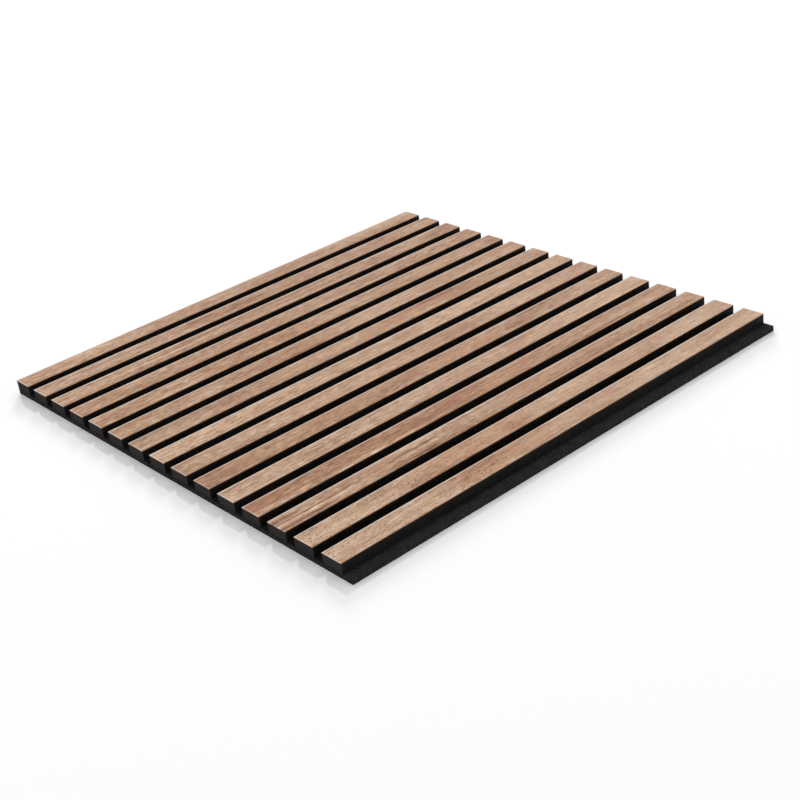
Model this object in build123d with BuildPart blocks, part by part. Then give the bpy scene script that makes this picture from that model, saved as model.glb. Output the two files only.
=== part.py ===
from build123d import *
import os

# Slat wall panel: veneered slats in a row on a felt backing, lying on its back.
# X runs across the slats, Y along them and Z out of the wall. Sizes are in millimetres.

# Slats
slat_count = 15
slat_width = 27.0
groove_width = 13.0
panel_length = 600.0
core_height = 10.4
veneer_thickness = 0.6
veneer_ease = 0.2

# Felt backing
felt_thickness = 6.0

# Staples that hold each slat from behind
staple_rows = 4
staple_end_margin = 60.0
staple_crown = 12.8
staple_wire_width = 0.95
staple_wire_thickness = 0.65
staple_shoulder = 0.25
staple_sink = 0.3
staple_tip_cover = 3.5
staple_clearance = 0.05

# Sizes that follow
slat_pitch = slat_width + groove_width
panel_width = slat_count * slat_pitch
slat_row_x = -groove_width / 2
core_top = felt_thickness + core_height
crown_seat = staple_sink + staple_wire_thickness
leg_tip = core_top - staple_tip_cover
leg_length = leg_tip - staple_sink
leg_spacing = staple_crown - staple_wire_thickness
leg_slot_length = staple_wire_thickness + 2 * staple_clearance
slot_width = staple_wire_width + 2 * staple_clearance
staple_row_pitch = (panel_length - 2 * staple_end_margin) / (staple_rows - 1)
staple_row_places = [(row - (staple_rows - 1) / 2) * staple_row_pitch for row in range(staple_rows)]
slat_places = [slat_row_x + (slat - (slat_count - 1) / 2) * slat_pitch for slat in range(slat_count)]

os.makedirs("parts", exist_ok=True)

# Felt backing: one flat sheet, wider than the row of slats by one groove on the right,
# so that the next panel's first slat keeps the same gap. Each staple has a pocket for its
# crown in the back, and two slots where its legs go through.
with BuildPart() as felt:
    with BuildSketch(Plane.XY):
        Rectangle(panel_width, panel_length)
    extrude(amount=felt_thickness)
    with BuildSketch(Plane.XY):
        with Locations((slat_row_x, 0)):
            with GridLocations(slat_pitch, staple_row_pitch, slat_count, staple_rows):
                Rectangle(staple_crown + 2 * staple_clearance, slot_width)
    extrude(amount=crown_seat, mode=Mode.SUBTRACT)
    with BuildSketch(Plane.XY.offset(crown_seat)):
        with Locations((slat_row_x, 0)):
            with GridLocations(slat_pitch, staple_row_pitch, slat_count, staple_rows):
                with GridLocations(leg_spacing, slot_width, 2, 1):
                    Rectangle(leg_slot_length, slot_width)
    extrude(amount=felt_thickness - crown_seat, mode=Mode.SUBTRACT)
felt.part.label = "felt_backing"
export_step(felt.part, "parts/felt_backing.step")

for number, slat_x in enumerate(slat_places, start=1):
    # Slat core: a dyed fibreboard strip on the felt, flush with both ends of the panel,
    # with a pair of blind slots in its underside for the legs of each staple.
    with BuildPart() as core:
        with BuildSketch(Plane.XY.offset(felt_thickness)):
            with Locations((slat_x, 0)):
                Rectangle(slat_width, panel_length)
        extrude(amount=core_height)
        with BuildSketch(Plane.XY.offset(felt_thickness)):
            with Locations((slat_x, 0)):
                with GridLocations(leg_spacing, staple_row_pitch, 2, staple_rows):
                    Rectangle(leg_slot_length, slot_width)
        extrude(amount=leg_tip + staple_clearance - felt_thickness, mode=Mode.SUBTRACT)
    core.part.label = f"slat_core_{number:02d}"
    export_step(core.part, f"parts/slat_core_{number:02d}.step")

    # Slat veneer: the thin wood face on the core, with its two long edges sanded off.
    with BuildPart() as veneer:
        with BuildSketch(Plane.XY.offset(core_top)):
            with Locations((slat_x, 0)):
                Rectangle(slat_width, panel_length)
        extrude(amount=veneer_thickness)
        long_top_edges = veneer.edges().filter_by(Axis.Y).group_by(Axis.Z)[-1]
        chamfer(long_top_edges, length=veneer_ease)
    veneer.part.label = f"slat_veneer_{number:02d}"
    export_step(veneer.part, f"parts/slat_veneer_{number:02d}.step")

# Staples: flat wire bent to a U, with the crown sunk in the felt's back and both legs up in
# the slat's core. One group, a row of staples at each place along the slats.
with BuildPart() as staples:
    with BuildSketch(*[Plane.XZ.offset(-row_y) for row_y in staple_row_places]) as bent_wire:
        with Locations(*[(slat_x, staple_sink) for slat_x in slat_places]):
            Rectangle(staple_crown, leg_length, align=(Align.CENTER, Align.MIN))
        chamfer(bent_wire.vertices().group_by(Axis.Y)[0], length=staple_shoulder)
        with Locations(*[(slat_x, crown_seat) for slat_x in slat_places]):
            Rectangle(
                staple_crown - 2 * staple_wire_thickness,
                leg_tip - crown_seat,
                align=(Align.CENTER, Align.MIN),
                mode=Mode.SUBTRACT,
            )
    extrude(amount=staple_wire_width / 2, both=True)
staples.part.label = "back_staples"
export_step(staples.part, "parts/back_staples.step")

print("panel", panel_width, "x", panel_length, "x", core_top + veneer_thickness)
print("staple legs", leg_length, "mm,", leg_tip - felt_thickness, "mm of them in the core")
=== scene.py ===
# %% [markdown]
# # A slat wall panel, dressed for its portrait
#
# The panel is a square of straight slats on a felt backing. Every slat is a black fibreboard
# strip with a thin walnut veneer on its face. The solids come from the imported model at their
# real size, and stay where they are. What this script adds is the finish of each surface, the
# floor, the light and the camera.

# %% Load the panel
import math
from types import SimpleNamespace

import bpy
from mathutils import Matrix, Vector


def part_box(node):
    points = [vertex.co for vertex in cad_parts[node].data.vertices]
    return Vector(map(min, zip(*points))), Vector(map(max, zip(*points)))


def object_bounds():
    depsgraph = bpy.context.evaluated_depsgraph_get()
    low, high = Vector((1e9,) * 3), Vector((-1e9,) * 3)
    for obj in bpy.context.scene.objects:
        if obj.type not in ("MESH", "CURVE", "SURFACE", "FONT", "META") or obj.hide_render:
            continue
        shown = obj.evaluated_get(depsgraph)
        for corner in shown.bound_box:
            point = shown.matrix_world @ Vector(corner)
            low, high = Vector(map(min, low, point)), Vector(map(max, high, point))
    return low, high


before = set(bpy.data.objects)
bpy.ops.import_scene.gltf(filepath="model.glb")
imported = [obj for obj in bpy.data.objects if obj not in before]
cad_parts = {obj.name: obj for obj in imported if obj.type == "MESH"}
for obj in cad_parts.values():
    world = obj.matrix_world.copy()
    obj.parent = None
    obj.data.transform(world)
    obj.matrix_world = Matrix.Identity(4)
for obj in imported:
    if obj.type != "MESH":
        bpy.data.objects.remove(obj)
cad_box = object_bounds()
MM = 1000.0  # millimetres in a metre
bpy.ops.object.select_all(action="DESELECT")
print("panel size in mm:", [round(MM * side, 1) for side in cad_box[1] - cad_box[0]])

# %% [markdown]
# ## Measure the slats
#
# The grain runs along the slats, and each slat is a different piece of wood. So the script asks
# the frame where each slat lies, instead of repeating sizes that the model already holds.

# %% Measure the slats
veneer_names = sorted(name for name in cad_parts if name.startswith("slat_veneer"))
core_names = sorted(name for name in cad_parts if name.startswith("slat_core"))
first_low, first_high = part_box(veneer_names[0])
SLAT_HALF_WIDTH = MM * (first_high.x - first_low.x) / 2
SLAT_HALF_LENGTH = MM * (first_high.y - first_low.y) / 2
slat_centres = {}
for name in veneer_names:
    low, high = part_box(name)
    slat_centres[name] = (low.x + high.x) / 2
print(len(veneer_names), "slats,", 2 * SLAT_HALF_WIDTH, "mm wide,", 2 * SLAT_HALF_LENGTH, "mm long")

# %% [markdown]
# ## Helpers for shader nodes
#
# A material is a small tree of nodes. By hand, each node is added from a menu and its links are
# drawn one by one. In code, a few helpers keep the trees short enough to read. The first ones add
# a node, do a sum, stretch a value to a new range, mix two colours and make noise. The others
# start a node group or a material, place a group in a material, and give nodes of the panel their
# material.

# %% Nodes, sums and mixes
def add(tree, kind, inputs=None, **settings):
    """A new node. An input is filled by a link if it is given a socket, and by a value otherwise."""
    made = tree.nodes.new(kind)
    for name, value in settings.items():
        setattr(made, name, value)
    for name, value in (inputs or {}).items():
        if isinstance(value, bpy.types.NodeSocket):
            tree.links.new(value, made.inputs[name])
        else:
            made.inputs[name].default_value = value
    return made


def calc(tree, operation, *values):
    return add(tree, "ShaderNodeMath", dict(enumerate(values)), operation=operation).outputs[0]


def plus(tree, base, layer, share):
    """The base with a share of a layer added to it."""
    return calc(tree, "MULTIPLY_ADD", layer, share, base)


def remap(tree, value, low, high, to_low=0.0, to_high=1.0):
    """The value stretched from one range to another, with soft ends that it can't pass."""
    inputs = {"Value": value, "From Min": low, "From Max": high, "To Min": to_low, "To Max": to_high}
    return add(tree, "ShaderNodeMapRange", inputs, interpolation_type="SMOOTHSTEP").outputs["Result"]


def mix(tree, share, first, second, mode="MIX"):
    inputs = {0: share, 6: first, 7: second}
    return add(tree, "ShaderNodeMix", inputs, data_type="RGBA", blend_type=mode).outputs[2]


print("helpers for nodes ready")

# %% Places, noise and colours
def place_on_panel(tree):
    """The place on the panel, as a vector in metres."""
    return add(tree, "ShaderNodeTexCoord").outputs["Object"]


def split(tree, vector):
    return add(tree, "ShaderNodeSeparateXYZ", {0: vector}).outputs


def joined(tree, x, y, z):
    return add(tree, "ShaderNodeCombineXYZ", {"X": x, "Y": y, "Z": z}).outputs[0]


def in_mm(tree, metres):
    return calc(tree, "MULTIPLY", metres, MM)


def scaled(tree, vector, factor):
    return add(tree, "ShaderNodeVectorMath", {0: vector, "Scale": factor}, operation="SCALE").outputs[0]


def noise(tree, vector, detail=2.0, roughness=0.5, distortion=0.0):
    inputs = {
        "Vector": vector,
        "Scale": 1.0,
        "Detail": detail,
        "Roughness": roughness,
        "Distortion": distortion,
    }
    return add(tree, "ShaderNodeTexNoise", inputs).outputs["Fac"]


def paint(red, green, blue):
    """A screen colour, from 0 to 255, as the linear colour that shaders use."""
    shares = [channel / 255 for channel in (red, green, blue)]
    linear = [s / 12.92 if s <= 0.04045 else ((s + 0.055) / 1.055) ** 2.4 for s in shares]
    return (*linear, 1.0)


print("helpers for places and colours ready")

# %% Groups and materials
def new_group(name, numbers, outputs):
    """A node group with number inputs, given as name to default, and outputs, given as name to kind."""
    group = bpy.data.node_groups.new(name, "ShaderNodeTree")
    for label, value in numbers.items():
        socket = group.interface.new_socket(label, in_out="INPUT", socket_type="NodeSocketFloat")
        socket.default_value = value
    for label, kind in outputs.items():
        group.interface.new_socket(label, in_out="OUTPUT", socket_type=kind)
    given = group.nodes.new("NodeGroupInput").outputs
    out = group.nodes.new("NodeGroupOutput").inputs
    return group, given, out


def use_group(tree, group, **values):
    inputs = {label.replace("_", " "): value for label, value in values.items()}
    return add(tree, "ShaderNodeGroup", inputs, node_tree=group).outputs


def new_material(name):
    material = bpy.data.materials.new(name)
    material.use_nodes = True
    tree = material.node_tree
    return material, tree, tree.nodes["Principled BSDF"]


def raise_bump(tree, shader, height, strength, depth):
    """A bump of a given depth in metres, on the shader's normal."""
    bump = add(tree, "ShaderNodeBump", {"Height": height, "Strength": strength, "Distance": depth})
    tree.links.new(bump.outputs[0], shader.inputs["Normal"])


def finish_with(material, names):
    for name in names:
        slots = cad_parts[name].data.materials
        slots.clear()
        slots.append(material)


print("helpers for groups and materials ready")

# %% [markdown]
# ## The grain of the veneer
#
# Walnut veneer shows several patterns at once: broad clouds of paler and darker wood, growth
# stripes some millimetres wide, thin lines, short streaks and ticks, hair-fine fibres, and dark
# pores. A picture of wood could be laid over the slats, but it would repeat, and blur from close
# by. Here each pattern is a noise. Wood is long along the grain and narrow across it, so the noise
# has many waves for each millimetre across and few along. Its third coordinate is a seed, which
# gives every slat its own piece of wood. A slow sway and a small ripple bend the grain.

# %% Noise that follows the grain
GRAIN_SEED_STEP = 7.31
SWAY_MM = 10.0
RIPPLE_MM = 2.6


def place_on_slat(group, centre):
    """Millimetres across a slat from its own middle, and along it from the panel's middle."""
    axes = split(group, place_on_panel(group))
    across = in_mm(group, calc(group, "SUBTRACT", axes["X"], centre))
    return across, in_mm(group, axes["Y"])


def squeezed_noise(group, across, along, seed, waves, detail=2.0, roughness=0.5):
    """Noise with a number of waves per millimetre across and along the grain."""
    squeezed_across = calc(group, "MULTIPLY", across, waves[0])
    squeezed_along = calc(group, "MULTIPLY", along, waves[1])
    return noise(group, joined(group, squeezed_across, squeezed_along, seed), detail, roughness)


def grain_noise(wood, lane, waves, layer, detail, roughness=0.5):
    """One layer of the grain. Its lane is the place across: straight, bent or aslant."""
    seed = calc(wood.group, "ADD", wood.seed, layer)
    return squeezed_noise(wood.group, lane, wood.along, seed, waves, detail, roughness)


def swing(wood, lane, waves, layer, detail, roughness=0.5, reach=0.2):
    """A layer as a value that swings from -1 to 1. Noise seldom leaves 0.5 by more than its reach."""
    layer_noise = grain_noise(wood, lane, waves, layer, detail, roughness)
    return remap(wood.group, layer_noise, 0.5 - reach, 0.5 + reach, -1.0, 1.0)


def start_grain():
    numbers = {
        "Centre": 0.0,
        "Seed": 0.0,
        "Tone": 0.0,
        "Drift": 0.0,
        "Blush": 0.4,
        "Stripes": 0.4,
        "Flecks": 0.5,
    }
    outputs = {"Colour": "NodeSocketColor", "Roughness": "NodeSocketFloat", "Height": "NodeSocketFloat"}
    group, given, out = new_group("walnut_grain", numbers, outputs)
    across, along = place_on_slat(group, given["Centre"])
    seed = calc(group, "MULTIPLY", given["Seed"], GRAIN_SEED_STEP)
    wood = SimpleNamespace(group=group, given=given, out=out, across=across, along=along, seed=seed)
    sway = grain_noise(wood, across, waves=(0.0, 0.006), layer=0.0, detail=1.0)
    sway = calc(group, "SUBTRACT", sway, 0.5)
    ripple = grain_noise(wood, across, waves=(0.05, 0.03), layer=2.0, detail=1.0)
    ripple = calc(group, "SUBTRACT", ripple, 0.5)
    wood.bent = plus(group, plus(group, across, ripple, RIPPLE_MM), sway, SWAY_MM)
    return wood


wood = start_grain()
print("grain group started with inputs:", [socket.name for socket in wood.given if socket.name])

# %% [markdown]
# ## Light and dark
#
# The patterns add up to one number, the tone, where 0 is dark wood and 1 is light. Each pattern
# has its share. Slats with many flecks get fewer ticks, because both look alike from a step away.
# The fine patterns are strongest at the near end, and calm down towards the far end.

# %% The tone of the grain
MIDDLE_TONE = 0.47
TONE_STEP = 0.2
CLOUD_SHARE = 0.18
STRIPE_SHARE = 0.26
STREAK_SHARE = 0.17
LINE_SHARE = 0.17
TICK_SHARE = 0.54
TICKS_LOST_TO_FLECKS = -0.4
FIBRE_SHARE = 0.2
SHIMMER_SHARE = 0.06
CALM_FROM = -200.0
CALM_TO = 60.0
CALM_CONTRAST = 0.7


def grain_tone(wood):
    """How light the wood is, and the fibres, which also make it rough."""
    group, given, bent = wood.group, wood.given, wood.bent
    clouds = swing(wood, bent, waves=(0.06, 0.008), layer=11.0, detail=3.0, reach=0.22)
    stripes = swing(wood, bent, waves=(0.4, 0.0045), layer=23.0, detail=3.0)
    streaks = swing(wood, bent, waves=(0.42, 0.045), layer=31.0, detail=3.0, roughness=0.65)
    lines = swing(wood, bent, waves=(0.95, 0.03), layer=29.0, detail=2.0)
    ticks = swing(wood, bent, waves=(0.8, 0.1), layer=59.0, detail=1.0)
    fibres = swing(wood, bent, waves=(2.4, 0.06), layer=37.0, detail=4.0, roughness=0.6, reach=0.25)
    shimmer = swing(wood, wood.across, waves=(0.05, 0.075), layer=41.0, detail=2.0)

    along_share = calc(group, "DIVIDE", wood.along, SLAT_HALF_LENGTH)
    slat_tone = plus(group, given["Tone"], along_share, given["Drift"])
    tone = calc(group, "MULTIPLY_ADD", slat_tone, TONE_STEP, MIDDLE_TONE)
    tone = plus(group, tone, clouds, CLOUD_SHARE)
    tone = plus(group, tone, calc(group, "MULTIPLY", stripes, given["Stripes"]), STRIPE_SHARE)
    fine = calc(group, "MULTIPLY", streaks, STREAK_SHARE)
    fine = plus(group, fine, lines, LINE_SHARE)
    tick_share = calc(group, "MULTIPLY_ADD", given["Flecks"], TICKS_LOST_TO_FLECKS, TICK_SHARE)
    fine = plus(group, fine, ticks, tick_share)
    fine = plus(group, fine, fibres, FIBRE_SHARE)
    tone = plus(group, tone, fine, remap(group, wood.along, CALM_FROM, CALM_TO, 1.0, CALM_CONTRAST))
    return plus(group, tone, shimmer, SHIMMER_SHARE), fibres


tone, fibres = grain_tone(wood)
print("nodes in the grain so far:", len(wood.group.nodes))

# %% [markdown]
# ## Hue
#
# A colour ramp turns the tone into wood: dark brown, middle brown and pale tan. Walnut also
# changes in hue where it doesn't change in tone, so small patches are pulled towards honey or
# rose, and broad ones blush. How much a slat blushes is one of its own values.

# %% The colours of the wood
DARK_WOOD = paint(132, 90, 61)
MIDDLE_WOOD = paint(180, 145, 120)
LIGHT_WOOD = paint(214, 186, 161)
HONEY_WOOD = paint(190, 156, 114)
ROSE_WOOD = paint(191, 145, 123)
BLUSH_WOOD = paint(168, 119, 94)
HUE_STRENGTH = 0.55


def grain_colour(wood, tone):
    group = wood.group
    ramp = add(group, "ShaderNodeValToRGB", {"Fac": tone})
    stops = ramp.color_ramp.elements
    stops[0].color = DARK_WOOD
    stops[1].color = LIGHT_WOOD
    stops.new(0.5).color = MIDDLE_WOOD
    warmth = grain_noise(wood, wood.bent, waves=(0.3, 0.045), layer=47.0, detail=3.0)
    honey = remap(group, warmth, 0.48, 0.68, 0.0, HUE_STRENGTH)
    rose = remap(group, warmth, 0.5, 0.3, 0.0, HUE_STRENGTH)
    colour = mix(group, honey, ramp.outputs["Color"], HONEY_WOOD)
    colour = mix(group, rose, colour, ROSE_WOOD)
    patches = grain_noise(wood, wood.bent, waves=(0.055, 0.011), layer=53.0, detail=3.0)
    blush = calc(group, "MULTIPLY", remap(group, patches, 0.46, 0.7), wood.given["Blush"])
    return mix(group, blush, colour, BLUSH_WOOD)


colour = grain_colour(wood, tone)
print("nodes in the grain so far:", len(wood.group.nodes))

# %% [markdown]
# ## Pores and edges
#
# Pores are short dark flecks that lean a little across the grain. They are the crests of one more
# noise, and a slow noise decides where they crowd together. The veneer's left edge and near end
# carry a thin pale line of painted highlight, where they catch the light. The right edge carries a
# thin dark brown line of painted shade, where the veneer's edge lies in shade and the black paint
# of the core runs up to it.

# %% Pores and edges
PORE_BROWN = paint(126, 86, 58)
PORE_STRENGTH = 0.68
PORE_LEAN = 0.2
PORE_LEVEL = 0.705
PORE_LEVEL_PER_FLECK = -0.13
FAR_PORES_LOST = 0.06
CROWD_REACH = 0.03
# Painted highlight: the pale line on the veneer's left edge and near end.
PAINTED_ARRIS_HIGHLIGHT = paint(216, 203, 193)
# Painted shade: the dark brown line on the veneer's right edge.
PAINTED_EDGE_SHADE = paint(96, 66, 50)


def grain_pores(wood):
    """1 in a pore and 0 beside it."""
    group = wood.group
    crowds = grain_noise(wood, wood.across, waves=(0.06, 0.02), layer=67.0, detail=1.0)
    level = remap(group, crowds, 0.3, 0.7, CROWD_REACH, -CROWD_REACH)
    level = calc(group, "ADD", level, remap(group, wood.along, CALM_FROM, CALM_TO, 0.0, FAR_PORES_LOST))
    fleck_level = calc(group, "MULTIPLY_ADD", wood.given["Flecks"], PORE_LEVEL_PER_FLECK, PORE_LEVEL)
    level = calc(group, "ADD", level, fleck_level)
    aslant = plus(group, wood.bent, wood.along, PORE_LEAN)
    dashes = grain_noise(wood, aslant, waves=(0.95, 0.3), layer=71.0, detail=1.0)
    return remap(group, calc(group, "SUBTRACT", dashes, level), -0.03, 0.07)


def tint_edges(wood, colour):
    """The colour with a painted highlight on its left edge and near end, and painted shade on its right
    edge. Each tint fades in over a millimetre or two from the edge.
    """
    group = wood.group
    # The left edge and near end get a painted highlight, and the right edge gets painted shade.
    left_edge_highlight = remap(group, wood.across, 2.2 - SLAT_HALF_WIDTH, 0.5 - SLAT_HALF_WIDTH, 0.0, 0.9)
    near_end_highlight = remap(group, wood.along, 1.8 - SLAT_HALF_LENGTH, 0.4 - SLAT_HALF_LENGTH, 0.0, 0.5)
    right_edge_shade = remap(group, wood.across, SLAT_HALF_WIDTH - 0.6, SLAT_HALF_WIDTH - 0.1, 0.0, 0.7)
    colour = mix(group, calc(group, "MAXIMUM", left_edge_highlight, near_end_highlight), colour, PAINTED_ARRIS_HIGHLIGHT)
    return mix(group, right_edge_shade, colour, PAINTED_EDGE_SHADE)


pores = grain_pores(wood)
colour = mix(wood.group, calc(wood.group, "MULTIPLY", pores, PORE_STRENGTH), colour, PORE_BROWN)
colour = tint_edges(wood, colour)
print("nodes in the grain so far:", len(wood.group.nodes))

# %% Close the grain group
WOOD_ROUGHNESS = 0.52


def close_grain(wood, colour, fibres, pores):
    """Link the outputs: pores are rougher than the wood around them, and lie lower."""
    group = wood.group
    roughness = plus(group, plus(group, WOOD_ROUGHNESS, pores, 0.2), fibres, 0.05)
    height = calc(group, "SUBTRACT", calc(group, "MULTIPLY", fibres, 0.3), pores)
    for label, value in {"Colour": colour, "Roughness": roughness, "Height": height}.items():
        group.links.new(value, wood.out[label])
    return group


walnut_grain = close_grain(wood, colour, fibres, pores)
print("grain group with", len(walnut_grain.nodes), "nodes")

# %% [markdown]
# ## Streaks that stand out
#
# Some slats carry a figure that the eye picks out at once: a dark streak of heartwood, a thin
# vein, a rosy patch, or a pale line of sapwood. Noise won't put these where they belong, so a
# second group makes a mask for one streak from its two ends, its place across the slat and its
# half width, all in millimetres from the middle of the slat. A little noise makes it wander, frays
# its ends and breaks it up.

# %% One streak in the grain
STREAK_SEED_STEP = 3.7
FRAYING = 0.8


def make_streak():
    numbers = {"Centre": 0.0, "Seed": 0.0, "From": 0.0, "To": 50.0, "Across": 0.0, "Half width": 2.0}
    group, given, out = new_group("wood_streak", numbers, {"Mask": "NodeSocketFloat"})
    across, along = place_on_slat(group, given["Centre"])
    seed = calc(group, "MULTIPLY", given["Seed"], STREAK_SEED_STEP)

    wander = squeezed_noise(group, across, along, seed, waves=(0.03, 0.025))
    wander = calc(group, "SUBTRACT", wander, 0.5)
    wander_mm = calc(group, "MULTIPLY_ADD", given["Half width"], 0.5, 1.0)
    aside = calc(group, "SUBTRACT", plus(group, across, wander, wander_mm), given["Across"])
    aside = calc(group, "DIVIDE", calc(group, "ABSOLUTE", aside), given["Half width"])

    length = calc(group, "SUBTRACT", given["To"], given["From"])
    travelled = calc(group, "DIVIDE", calc(group, "SUBTRACT", along, given["From"]), length)
    from_middle = calc(group, "ABSOLUTE", calc(group, "MULTIPLY_ADD", travelled, 2.0, -1.0))
    frayed = squeezed_noise(group, across, along, seed, waves=(0.5, 0.02))
    from_middle = plus(group, from_middle, calc(group, "SUBTRACT", frayed, 0.5), FRAYING)

    mask = calc(group, "MULTIPLY", remap(group, aside, 1.3, 0.4), remap(group, from_middle, 1.1, 0.7))
    breaks = squeezed_noise(group, across, along, seed, waves=(0.6, 0.06), detail=3.0, roughness=0.6)
    mask = calc(group, "MULTIPLY", mask, remap(group, breaks, 0.3, 0.6, 0.4, 1.0))
    group.links.new(mask, out["Mask"])
    return group


wood_streak = make_streak()
print("streak group with", len(wood_streak.nodes), "nodes")

# %% [markdown]
# ## Fifteen slats, fifteen pieces of wood
#
# Each slat gets its own material from the same grain group. The values are given slat by slat from
# the left: how light the wood is, how that drifts towards the far end, how reddish its patches are,
# how striped it is, and how many pores show as flecks.

# %% The look of each slat
# Tone, drift, blush, stripes, flecks
SLAT_LOOKS = [
    (-0.1, 0.0, 0.2, 0.4, 0.5),
    (-0.1, -0.3, 0.4, 0.6, 0.5),
    (-0.2, -0.2, 0.2, 2.0, 0.5),
    (-0.1, 0.2, 0.5, 0.5, 0.4),
    (-0.1, 0.1, 0.4, 0.4, 0.5),
    (0.2, 0.4, 0.3, 0.3, 0.6),
    (0.1, 0.0, 0.4, 0.5, 0.6),
    (0.8, -0.2, 0.1, 0.3, 0.5),
    (0.5, 0.0, 0.3, 0.4, 0.5),
    (0.0, 0.3, 0.4, 0.5, 0.4),
    (0.9, 0.2, 0.2, 0.5, 0.6),
    (-0.1, 0.0, 0.5, 0.8, 0.4),
    (0.2, 0.1, 0.5, 1.2, 0.5),
    (0.9, 0.1, 0.2, 0.3, 0.9),
    (0.9, 0.1, 0.2, 0.3, 0.9),
]
print("looks for", len(SLAT_LOOKS), "slats")

# %% [markdown]
# ## The streaks of each slat
#
# A streak multiplies the colour under it by its tint, so that the fine grain still shows through.
# Tints below 1 darken and tints above 1 lighten. Wide and weak streaks are patches that shift the
# tone of a whole stretch, and thin and strong ones are veins.

# %% Streak tints and places
HEARTWOOD = (0.45, 0.36, 0.28, 1.0)
DARK_VEIN = (0.34, 0.23, 0.15, 1.0)
RED_HEART = (0.62, 0.46, 0.37, 1.0)
ROSY = (0.9, 0.76, 0.67, 1.0)
SAPWOOD = (1.25, 1.28, 1.28, 1.0)
PALE_STREAK = (1.6, 1.85, 2.05, 1.0)

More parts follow.
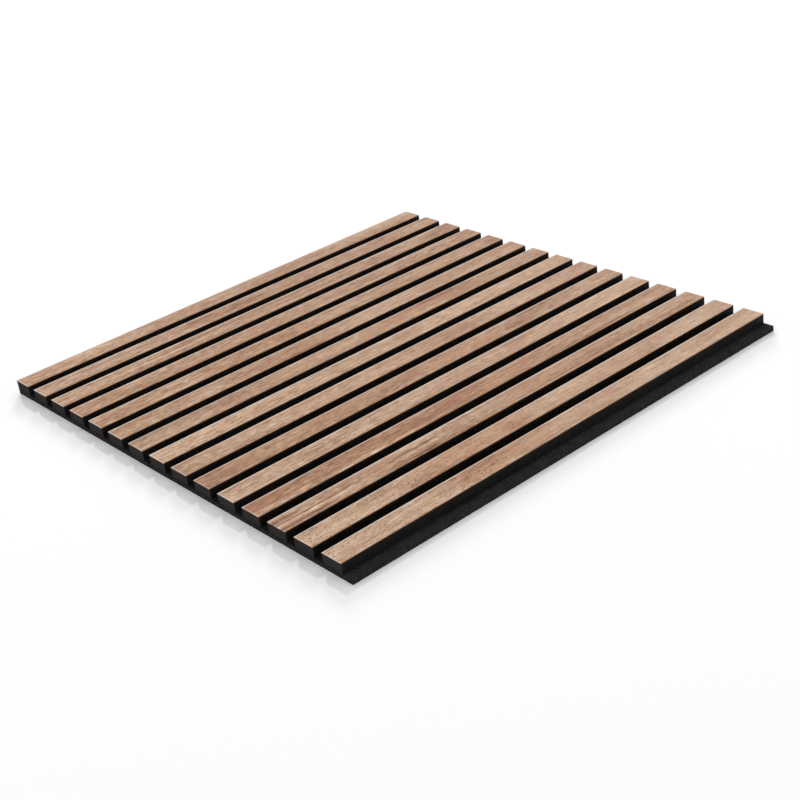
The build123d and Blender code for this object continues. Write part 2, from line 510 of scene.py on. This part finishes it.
# By slat number: tint, start, end, place across, half width, strength
SLAT_STREAKS = {
    1: [
        (SAPWOOD, -390, -150, 0, 18, 1.0), (ROSY, -140, 0, 0, 18, 0.3),
        (RED_HEART, -310, -258, 10, 3.0, 0.4), (ROSY, 10, 95, 5, 7.0, 0.5),
        (SAPWOOD, 130, 340, 0, 18, 0.2),
    ],
    2: [
        (HEARTWOOD, -100, -55, -6, 2.0, 0.6), (HEARTWOOD, -30, 16, -1, 1.8, 0.6),
        (ROSY, -110, 5, -2, 9, 0.9), (RED_HEART, -165, -118, -12, 1.6, 0.7),
    ],
    3: [
        (SAPWOOD, -360, -130, 0, 18, 0.4), (PALE_STREAK, -295, -185, -1.5, 1.4, 0.5),
        (PALE_STREAK, -155, -50, -2, 1.4, 0.5), (HEARTWOOD, -300, -130, -8, 2.0, 0.35),
        (HEARTWOOD, -160, -50, -7, 1.5, 0.6), (HEARTWOOD, -140, -90, 6, 1.5, 0.4),
        (ROSY, -150, 0, 0, 18, 0.4), (RED_HEART, 142, 188, 4, 6, 0.6),
        (RED_HEART, 245, 295, 3, 4, 0.6),
    ],
    4: [
        (SAPWOOD, -360, -120, 0, 18, 0.4), (ROSY, -320, -230, -3, 10, 0.8),
        (ROSY, -130, 0, 0, 18, 0.4), (RED_HEART, -98, -66, -9, 3.0, 0.5),
        (HEARTWOOD, 92, 134, -3, 5.0, 0.2), (RED_HEART, 162, 205, -5, 3.5, 0.5),
        (SAPWOOD, 225, 270, 6, 3.0, 0.6),
    ],
    5: [
        (SAPWOOD, -360, -140, 0, 18, 0.6), (ROSY, -170, 5, 0, 18, 0.9),
        (RED_HEART, -172, -128, -5, 2.0, 0.7), (HEARTWOOD, -122, -84, -3, 7.0, 0.2),
        (RED_HEART, -62, -26, 2, 6.0, 0.6), (RED_HEART, -20, 0, 4, 1.6, 0.8),
    ],
    6: [
        (SAPWOOD, -360, -150, 0, 18, 0.5), (ROSY, -165, 5, 4, 9, 0.9),
        (RED_HEART, -78, -24, 11, 2.4, 1.0),
    ],
    7: [
        (SAPWOOD, -330, 20, 4, 9, 0.4), (HEARTWOOD, -345, -105, -10.5, 4.0, 0.4),
        (RED_HEART, -206, -168, 2, 9.0, 0.35), (RED_HEART, 100, 165, -9, 4.0, 0.8),
        (ROSY, 30, 200, -2, 10, 0.9),
    ],
    8: [
        (SAPWOOD, -360, -100, 0, 18, 0.6), (HEARTWOOD, -66, -48, 11, 2.0, 0.5),
        (SAPWOOD, 0, 150, 0, 18, 0.2),
    ],
    9: [
        (SAPWOOD, -200, 40, 0, 18, 0.4), (RED_HEART, -200, -178, -8, 3.5, 0.6),
        (ROSY, 50, 140, 0, 9, 0.6),
    ],
    10: [
        (ROSY, -330, 160, 0, 16, 0.8), (HEARTWOOD, -330, -262, -9, 2.5, 0.4),
        (RED_HEART, 112, 148, 6, 5.0, 0.7), (DARK_VEIN, 140, 205, -9, 1.3, 0.8),
    ],
    11: [
        (SAPWOOD, -360, -150, 0, 18, 0.25), (HEARTWOOD, -285, -268, 0, 1.6, 0.4),
        (ROSY, 0, 140, 0, 18, 0.25), (HEARTWOOD, -214, -178, 3, 8.0, 0.25),
        (RED_HEART, 76, 116, -5, 6.0, 0.5), (SAPWOOD, 150, 340, 0, 18, 0.25),
    ],
    12: [
        (ROSY, -340, 130, -2, 14, 1.0), (RED_HEART, -205, -80, -3, 6.0, 0.35),
        (PALE_STREAK, -335, -222, 6.3, 1.4, 0.9), (PALE_STREAK, -320, -238, 10, 1.0, 0.5),
        (PALE_STREAK, -216, -96, 10.5, 2.4, 0.8), (ROSY, 60, 340, 0, 16, 0.3),
        (HEARTWOOD, 80, 240, 10, 2.5, 0.3),
    ],
    13: [
        (SAPWOOD, -290, -80, 0, 18, 0.4), (RED_HEART, -350, -266, -5, 4.0, 1.0),
        (RED_HEART, -350, -235, 9, 3.5, 0.9), (DARK_VEIN, -330, -208, 0, 1.2, 0.9),
        (HEARTWOOD, -345, -258, -5, 2.2, 0.5), (HEARTWOOD, -345, -238, 9.5, 2.0, 0.6),
        (PALE_STREAK, -310, -205, 3.5, 1.8, 0.4), (HEARTWOOD, -215, -150, -1, 1.0, 0.5),
        (DARK_VEIN, -165, -95, -2.2, 1.2, 1.0), (RED_HEART, -172, -90, 8.5, 4.0, 0.7),
        (HEARTWOOD, -150, -105, 11, 1.2, 0.6), (ROSY, 0, 190, 0, 14, 0.6),
    ],
    14: [
        (SAPWOOD, -360, -150, 0, 18, 0.35), (ROSY, -160, -5, 0, 18, 1.0),
        (SAPWOOD, 0, 150, 0, 18, 0.4),
    ],
    15: [
        (SAPWOOD, -360, -150, 0, 18, 0.4), (ROSY, -150, -10, 0, 18, 0.9),
        (SAPWOOD, 0, 150, 0, 18, 0.25),
    ],
}
print("streaks placed by hand:", sum(len(streaks) for streaks in SLAT_STREAKS.values()))

# %% Veneer finishes
SEEDS_BETWEEN_STREAKS = 20
GRAIN_BUMP = 0.25
GRAIN_DEPTH = 0.00015
VENEER_GLOSS = 0.3


def make_veneer(name, number, look, streaks):
    material, tree, shader = new_material(name.replace("slat", "walnut"))
    centre = slat_centres[name]
    tone, drift, blush, stripes, flecks = look
    grain = use_group(
        tree, walnut_grain, Centre=centre, Seed=number, Tone=tone, Drift=drift,
        Blush=blush, Stripes=stripes, Flecks=flecks,
    )
    colour = grain["Colour"]
    for order, (tint, start, end, across, half_width, strength) in enumerate(streaks):
        streak = use_group(
            tree, wood_streak, Centre=centre, Seed=number + SEEDS_BETWEEN_STREAKS * order,
            From=start, To=end, Across=across, Half_width=half_width,
        )
        share = calc(tree, "MULTIPLY", streak["Mask"], strength)
        colour = mix(tree, share, colour, tint, "MULTIPLY")
    tree.links.new(colour, shader.inputs["Base Color"])
    tree.links.new(grain["Roughness"], shader.inputs["Roughness"])
    raise_bump(tree, shader, grain["Height"], GRAIN_BUMP, GRAIN_DEPTH)
    shader.inputs["Specular IOR Level"].default_value = VENEER_GLOSS
    return material


for number, (name, look) in enumerate(zip(veneer_names, SLAT_LOOKS), start=1):
    finish_with(make_veneer(name, number, look, SLAT_STREAKS[number]), [name])
print("veneers finished:", len(veneer_names))

# %% [markdown]
# ## Fibres in board and felt
#
# Fibreboard and felt are both pressed from short fibres that lie every way. Single fibres could be
# modelled as hairs, but they are far too small to count. So one group draws them: three noises,
# each stretched along a different direction, keep only their crests as thin strokes. The group
# also gives out a soft cloud, for the larger unevenness.

# %% Fibre strokes
STROKE_TURNS = (15, 75, 135)
STROKE_TILT = (0.4, 0.3)
CLOUDS_PER_METRE = 120.0


def make_strokes():
    numbers = {"Per mm": 1.5, "Stretch": 0.15, "Share": 0.5}
    outputs = {"Strokes": "NodeSocketFloat", "Cloud": "NodeSocketFloat"}
    group, given, out = new_group("fibre_strokes", numbers, outputs)
    place = place_on_panel(group)
    narrow = calc(group, "MULTIPLY", given["Per mm"], MM)
    long = calc(group, "MULTIPLY", narrow, given["Stretch"])
    highest = 0.0
    for turn in STROKE_TURNS:
        rotation = (*STROKE_TILT, math.radians(turn))
        turned = add(group, "ShaderNodeMapping", {"Vector": place, "Rotation": rotation}).outputs[0]
        axes = split(group, turned)
        squeezed = joined(
            group,
            calc(group, "MULTIPLY", axes["X"], narrow),
            calc(group, "MULTIPLY", axes["Y"], long),
            calc(group, "MULTIPLY", axes["Z"], narrow),
        )
        crest = noise(group, squeezed, detail=1.0, distortion=0.4)
        highest = calc(group, "MAXIMUM", highest, crest)
    low = calc(group, "MULTIPLY_ADD", given["Share"], -0.2, 0.72)
    strokes = remap(group, highest, low, calc(group, "ADD", low, 0.12))
    group.links.new(strokes, out["Strokes"])
    cloud = noise(group, scaled(group, place, CLOUDS_PER_METRE), detail=3.0)
    group.links.new(cloud, out["Cloud"])
    return group


fibre_strokes = make_strokes()
print("fibre group with", len(fibre_strokes.nodes), "nodes")

# %% [markdown]
# ## Black fibreboard
#
# The slat cores are painted black on their long sides, and sawn off at the ends, where the dyed
# board shows as a slightly paler, rougher charcoal. The place along the slat tells the two apart.
# Wood stain has run a little way down from the veneer, so the top of each side is brown. The
# outermost side on the right, beside the bare strip of felt, is painted a touch lighter and greyer
# than the sides in the gaps. This is painted light, for the light that side gets.

# %% Black fibreboard
BLACK_PAINT = paint(18, 15, 10)
# Painted light: the outermost side is lit more than the sides in the gaps, so it is painted lighter.
OUTER_SIDE_PAINTED_LIGHT = paint(26, 26, 25)
SAWN_BOARD = paint(46, 43, 42)
BOARD_FIBRE = paint(74, 68, 62)
STAIN_BROWN = paint(54, 34, 16)
STAIN_HEIGHT = 2.0
BOARD_BUMP = 0.3
BOARD_DEPTH = 0.0002
BOARD_GLOSS = 0.08
CORE_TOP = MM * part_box(core_names[0])[1].z
LAST_SLAT_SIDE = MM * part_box(core_names[-1])[1].x


def make_fibreboard():
    material, tree, shader = new_material("black_fibreboard")
    axes = split(tree, place_on_panel(tree))
    from_middle = in_mm(tree, calc(tree, "ABSOLUTE", axes["Y"]))
    sawn = remap(tree, from_middle, SLAT_HALF_LENGTH - 0.2, SLAT_HALF_LENGTH - 0.1)
    # Mask for the painted light on the outermost side.
    outermost_lit = remap(tree, in_mm(tree, axes["X"]), LAST_SLAT_SIDE - 0.2, LAST_SLAT_SIDE - 0.1)
    stained = remap(tree, in_mm(tree, axes["Z"]), CORE_TOP - STAIN_HEIGHT, CORE_TOP, 0.0, 0.9)
    board = use_group(tree, fibre_strokes, Per_mm=2.2, Stretch=0.3, Share=0.6)
    worn = remap(tree, board["Cloud"], 0.3, 0.7, 0.0, 0.3)
    side = mix(tree, outermost_lit, BLACK_PAINT, OUTER_SIDE_PAINTED_LIGHT)
    side = mix(tree, worn, side, SAWN_BOARD)
    side = mix(tree, stained, side, STAIN_BROWN)
    end = mix(tree, calc(tree, "MULTIPLY", board["Strokes"], 0.5), SAWN_BOARD, BOARD_FIBRE)
    tree.links.new(mix(tree, sawn, side, end), shader.inputs["Base Color"])
    tree.links.new(remap(tree, sawn, 0.0, 1.0, 0.6, 0.9), shader.inputs["Roughness"])
    raise_bump(tree, shader, board["Strokes"], BOARD_BUMP, BOARD_DEPTH)
    shader.inputs["Specular IOR Level"].default_value = BOARD_GLOSS
    return material


finish_with(make_fibreboard(), core_names)
print("cores finished:", len(core_names))

# %% [markdown]
# ## Charcoal felt
#
# The backing is needled polyester: dark, with no gloss, and full of single fibres that catch the
# light. The strokes tint it, and raise a soft bump. On its top, in the gaps and close beside the last
# slat, the felt is darkened with painted shade, where the slats shade it, so it looks darker than on
# the bare strip.

# %% Charcoal felt
FELT_DARK = paint(33, 33, 33)
FELT_FIBRE = paint(78, 78, 79)
# Painted shade for the felt's top in the gaps and beside the last slat.
FELT_PAINTED_SHADE = paint(16, 16, 16)
PAINTED_SHADE_WIDTH = 6.0
PAINTED_SHADE_STRENGTH = 0.8
FELT_BUMP = 0.5
FELT_DEPTH = 0.0005
FELT_GLOSS = 0.05
FELT_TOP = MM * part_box("felt_backing")[1].z


def make_felt():
    material, tree, shader = new_material("charcoal_felt")
    axes = split(tree, place_on_panel(tree))
    fade_from = LAST_SLAT_SIDE - 1.0
    fade_to = LAST_SLAT_SIDE + PAINTED_SHADE_WIDTH
    # Painted shade: the felt's top in the gaps and beside the last slat is darkened.
    shade_beside = remap(tree, in_mm(tree, axes["X"]), fade_from, fade_to, PAINTED_SHADE_STRENGTH, 0.0)
    on_top = remap(tree, in_mm(tree, axes["Z"]), FELT_TOP - 1.0, FELT_TOP - 0.5)
    felt = use_group(tree, fibre_strokes, Per_mm=1.1, Stretch=0.14, Share=0.7)
    shade = mix(tree, remap(tree, felt["Cloud"], 0.3, 0.7, 0.0, 0.16), FELT_DARK, FELT_FIBRE)
    shade = mix(tree, calc(tree, "MULTIPLY", felt["Strokes"], 0.4), shade, FELT_FIBRE)
    shade = mix(tree, calc(tree, "MULTIPLY", shade_beside, on_top), shade, FELT_PAINTED_SHADE)
    tree.links.new(shade, shader.inputs["Base Color"])
    raise_bump(tree, shader, felt["Strokes"], FELT_BUMP, FELT_DEPTH)
    shader.inputs["Roughness"].default_value = 1.0
    shader.inputs["Specular IOR Level"].default_value = FELT_GLOSS
    return material


finish_with(make_felt(), ["felt_backing"])
print("felt finished, top at", FELT_TOP, "mm")

# %% [markdown]
# ## Staple wire
#
# The staples in the back are flat galvanised wire: a dull metal with a slightly uneven shine. One
# noise is enough for it, and moves both the grey and the roughness.

# %% Staple wire
ZINC_GREY = paint(176, 178, 180)
DULL_ZINC = paint(130, 132, 134)
ZINC_SPOTS_PER_METRE = 900.0


def make_wire():
    material, tree, shader = new_material("staple_wire")
    spots = noise(tree, scaled(tree, place_on_panel(tree), ZINC_SPOTS_PER_METRE), detail=3.0)
    grey = mix(tree, remap(tree, spots, 0.3, 0.7, 0.0, 0.4), ZINC_GREY, DULL_ZINC)
    tree.links.new(grey, shader.inputs["Base Color"])
    tree.links.new(remap(tree, spots, 0.3, 0.7, 0.3, 0.5), shader.inputs["Roughness"])
    shader.inputs["Metallic"].default_value = 1.0
    return material


finish_with(make_wire(), ["back_staples"])
print("staples finished")

# %% [markdown]
# ## Floor
#
# The panel lies on a white, faintly polished floor. A curved backdrop would do as well, but a large
# plane is simpler and has no bend to hide. The floor glows a little where it is seen as the
# background, so that it reads as white while the soft shadow and the faint mirror image of the
# panel's edge stay.

# %% Floor
FLOOR_SIZE = 24.0
FLOOR_WHITE = (0.96, 0.96, 0.96, 1)
FLOOR_GLOW = 0.07
FLOOR_ROUGHNESS = 0.09
FLOOR_IOR = 1.9
WHITE = (1, 1, 1, 1)


def seen_as_background(tree):
    """1 where a ray shows the background to the camera, straight or in gloss or glass, and else 0."""
    rays = add(tree, "ShaderNodeLightPath").outputs
    seen = calc(tree, "MAXIMUM", rays["Is Camera Ray"], rays["Is Glossy Ray"])
    return calc(tree, "MAXIMUM", seen, rays["Is Transmission Ray"])


def make_floor():
    bpy.ops.mesh.primitive_plane_add(size=FLOOR_SIZE, location=(0, 0, cad_box[0].z))
    floor = bpy.context.object
    floor.name = "studio_floor"
    material, tree, shader = new_material("studio_floor")
    glow = calc(tree, "MULTIPLY", seen_as_background(tree), FLOOR_GLOW)
    tree.links.new(glow, shader.inputs["Emission Strength"])
    shader.inputs["Emission Color"].default_value = WHITE
    shader.inputs["Base Color"].default_value = FLOOR_WHITE
    shader.inputs["Roughness"].default_value = FLOOR_ROUGHNESS
    shader.inputs["IOR"].default_value = FLOOR_IOR
    floor.data.materials.append(material)


make_floor()
bpy.ops.object.select_all(action="DESELECT")
print("floor at", cad_box[0].z)

# %% [markdown]
# ## Light
#
# A pale world lights the panel evenly from all sides, as a white studio does. One large soft lamp
# stands low at the back left, opposite the camera. It makes the soft shadow on the floor along the
# near and right sides, and leaves the near ends and the right side themselves to the world's
# light. The lamp isn't mirrored in the floor, where it would show as a bright spot.

# %% Light
SKY_LIGHT = 0.8
LAMP_PLACE = Vector((-3.94, 3.08, 1.95))
LAMP_WIDTH = 1.2
LAMP_WATTS = 149.0


def make_world():
    world = bpy.data.worlds.new("pale_studio")
    bpy.context.scene.world = world
    world.use_nodes = True
    tree = world.node_tree
    background = tree.nodes["Background"]
    background.inputs["Color"].default_value = WHITE
    strength = remap(tree, seen_as_background(tree), 0.0, 1.0, SKY_LIGHT, 1.0)
    tree.links.new(strength, background.inputs["Strength"])


def make_lamp():
    lamp = bpy.data.lights.new("soft_lamp", "AREA")
    lamp.size = LAMP_WIDTH
    lamp.energy = LAMP_WATTS
    holder = bpy.data.objects.new("soft_lamp", lamp)
    holder.location = LAMP_PLACE
    holder.visible_glossy = False
    holder.rotation_mode = "QUATERNION"
    holder.rotation_quaternion = (-LAMP_PLACE).to_track_quat("-Z", "Y")
    bpy.context.scene.collection.objects.link(holder)


make_world()
make_lamp()
bpy.context.scene.view_settings.view_transform = "Standard"
print("lamp at", tuple(LAMP_PLACE))

# %% [markdown]
# ## Camera
#
# The camera stands at the front right and looks down on the panel, turned a little about its own
# line of sight. Its place, direction and focal length were worked out from where the corners of
# the panel and the ends of the slats lie in an 800 by 800 picture.

# %% Camera
PICTURE_SIDE = 800
FOCAL_PIXELS = 1470.0
SENSOR = 36.0
CAMERA_PLACE = Vector((1.1676, -0.8969, 0.7243))
AZIMUTH = math.radians(52.1)
ELEVATION = math.radians(27.7)
ROLL = math.radians(-7.9)


def make_camera():
    data = bpy.data.cameras.new("camera")
    data.sensor_width = SENSOR
    data.lens = SENSOR * FOCAL_PIXELS / PICTURE_SIDE
    camera = bpy.data.objects.new("camera", data)
    bpy.context.scene.collection.objects.link(camera)
    back = Vector((
        math.sin(AZIMUTH) * math.cos(ELEVATION),
        -math.cos(AZIMUTH) * math.cos(ELEVATION),
        math.sin(ELEVATION),
    ))
    right = Vector((math.cos(AZIMUTH), math.sin(AZIMUTH), 0))
    up = back.cross(right)
    turned_right = math.cos(ROLL) * right + math.sin(ROLL) * up
    turned_up = back.cross(turned_right)
    turn = Matrix((turned_right, turned_up, back)).transposed()
    camera.matrix_world = Matrix.Translation(CAMERA_PLACE) @ turn.to_4x4()
    bpy.context.scene.camera = camera


make_camera()
print("camera at", tuple(CAMERA_PLACE))
